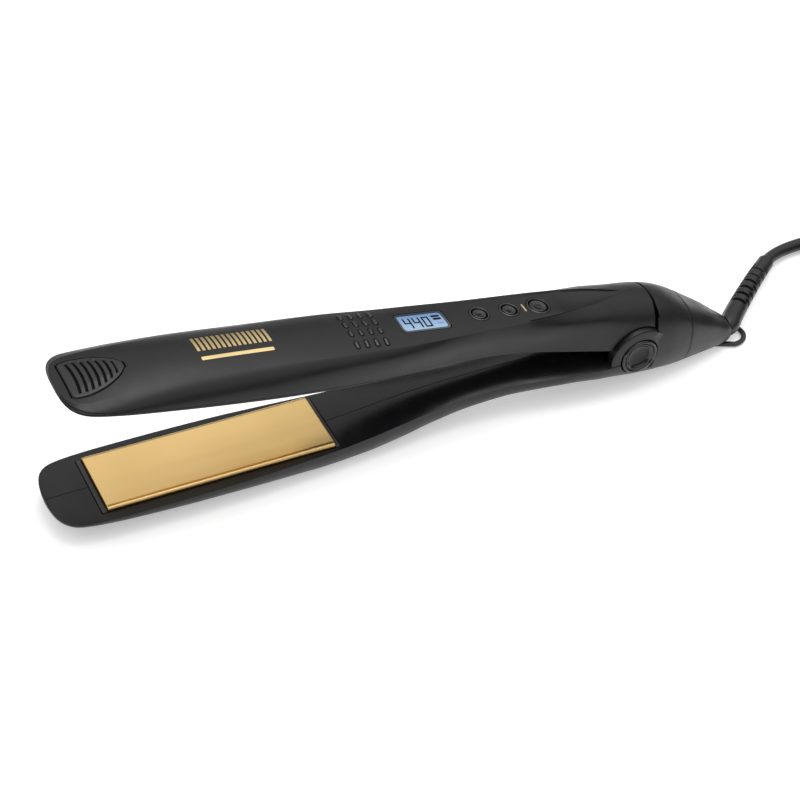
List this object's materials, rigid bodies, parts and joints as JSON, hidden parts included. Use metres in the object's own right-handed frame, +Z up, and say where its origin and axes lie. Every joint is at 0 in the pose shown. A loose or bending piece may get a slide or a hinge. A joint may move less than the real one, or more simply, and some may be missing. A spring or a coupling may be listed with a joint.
{
  "type": "flat iron",
  "caption": "Hinged hair straightening iron, half open, with flat heated plates, a display and buttons on top, and a swivel cord coiled beside it with its plug.",
  "frame": {"origin": "centre of the iron's bounding box at table level, measured without the cord", "axes": "+X from the tips towards the cord, +Y across the plates, +Z up from the table"},
  "size_m": [0.4829, 0.099, 0.0739],
  "materials": {
    "lower_shell_near": "soft-touch moulded",
    "lower_shell_far": "soft-touch moulded",
    "lower_plate": "satin gold titanium coating",
    "lower_heater": "ceramic",
    "lower_heater_carrier": "glass-filled heat plastic",
    "lower_cushion_front": "silicone",
    "lower_cushion_rear": "silicone",
    "hinge_pin": "ground",
    "hinge_cover_near": "satin moulded",
    "hinge_cover_far": "satin moulded",
    "hinge_washer_near": "nylon",
    "hinge_washer_far": "nylon",
    "tail_cap": "soft-touch moulded",
    "hang_loop": "satin moulded",
    "cord_lead": "cord sheath",
    "cord_coil": "cord sheath",
    "cord_end": "cord sheath",
    "cord_tie": "hook-and-loop strap",
    "plug_body": "moulded",
    "plug_blade_1": "plain brass",
    "plug_blade_2": "plain brass",
    "upper_shell": "soft-touch moulded",
    "thumb_rest": "moulded rubber",
    "upper_plate_frame": "soft-touch moulded",
    "upper_inner_cover": "soft-touch moulded",
    "cover_screw_1": "ground",
    "cover_screw_2": "ground",
    "upper_plate": "satin gold titanium coating",
    "upper_heater": "ceramic",
    "upper_heater_carrier": "glass-filled heat plastic",
    "upper_cushion_front": "silicone",
    "upper_cushion_rear": "silicone",
    "hinge_knuckle": "moulded",
    "opening_spring": "ground",
    "screen_lens": "clear window",
    "screen_module": "backlit display",
    "control_board": "solder-masked board",
    "minus_ring": "gloss moulded",
    "plus_ring": "gloss moulded",
    "power_ring": "gloss moulded",
    "minus_switch": "ground",
    "plus_switch": "ground",
    "power_switch": "ground",
    "minus_button": "gloss moulded",
    "plus_button": "gloss moulded",
    "power_button": "gloss moulded",
    "swivel_collar": "nylon",
    "strain_relief": "moulded rubber"
  },
  "bodies": {
    "lower_arm": {"lower_shell_near": "lower_shell_near", "lower_shell_far": "lower_shell_far", "lower_plate": "lower_plate", "lower_heater": "lower_heater", "lower_heater_carrier": "lower_heater_carrier", "lower_cushion_front": "lower_cushion_front", "lower_cushion_rear": "lower_cushion_rear", "hinge_pin": "hinge_pin", "hinge_cover_near": "hinge_cover_near", "hinge_cover_far": "hinge_cover_far", "hinge_washer_near": "hinge_washer_near", "hinge_washer_far": "hinge_washer_far", "tail_cap": "tail_cap", "hang_loop": "hang_loop", "cord_lead": "cord_lead", "cord_coil": "cord_coil", "cord_end": "cord_end", "cord_tie": "cord_tie", "plug_body": "plug_body", "plug_blade_1": "plug_blade_1", "plug_blade_2": "plug_blade_2"},
    "upper_arm": {"upper_shell": "upper_shell", "thumb_rest": "thumb_rest", "upper_plate_frame": "upper_plate_frame", "upper_inner_cover": "upper_inner_cover", "cover_screw_1": "cover_screw_1", "cover_screw_2": "cover_screw_2", "upper_plate": "upper_plate", "upper_heater": "upper_heater", "upper_heater_carrier": "upper_heater_carrier", "upper_cushion_front": "upper_cushion_front", "upper_cushion_rear": "upper_cushion_rear", "hinge_knuckle": "hinge_knuckle", "opening_spring": "opening_spring", "screen_lens": "screen_lens", "screen_module": "screen_module", "control_board": "control_board", "minus_ring": "minus_ring", "plus_ring": "plus_ring", "power_ring": "power_ring", "minus_switch": "minus_switch", "plus_switch": "plus_switch", "power_switch": "power_switch"},
    "minus_key": {"minus_button": "minus_button"},
    "plus_key": {"plus_button": "plus_button"},
    "power_key": {"power_button": "power_button"},
    "swivel": {"swivel_collar": "swivel_collar", "strain_relief": "strain_relief"}
  },
  "joints": [
    {"name": "arm_hinge", "type": "hinge", "parent": "lower_arm", "child": "upper_arm", "pos_m": [0.09837, 0, 0.02096], "axis": [0, -1, 0], "range_deg": [0, 11.5], "stiffness_Nm_per_rad": 1.2, "springref_deg": -20.05},
    {"name": "minus_press", "type": "slide", "parent": "upper_arm", "child": "minus_key", "axis": [-0.1371, 0, -0.9906], "range_m": [0, 0.0006], "stiffness_N_per_m": 500, "springref_m": -0.0005},
    {"name": "plus_press", "type": "slide", "parent": "upper_arm", "child": "plus_key", "axis": [-0.1263, 0, -0.992], "range_m": [0, 0.0006], "stiffness_N_per_m": 500, "springref_m": -0.0005},
    {"name": "power_press", "type": "slide", "parent": "upper_arm", "child": "power_key", "axis": [-0.1237, 0, -0.9923], "range_m": [0, 0.0006], "stiffness_N_per_m": 500, "springref_m": -0.0005},
    {"name": "cord_swivel", "type": "hinge", "parent": "lower_arm", "child": "swivel", "pos_m": [0.15014, 0, 0.00757], "axis": [0.9998, 0, 0.0195], "range_deg": [0, 90]}
  ]
}
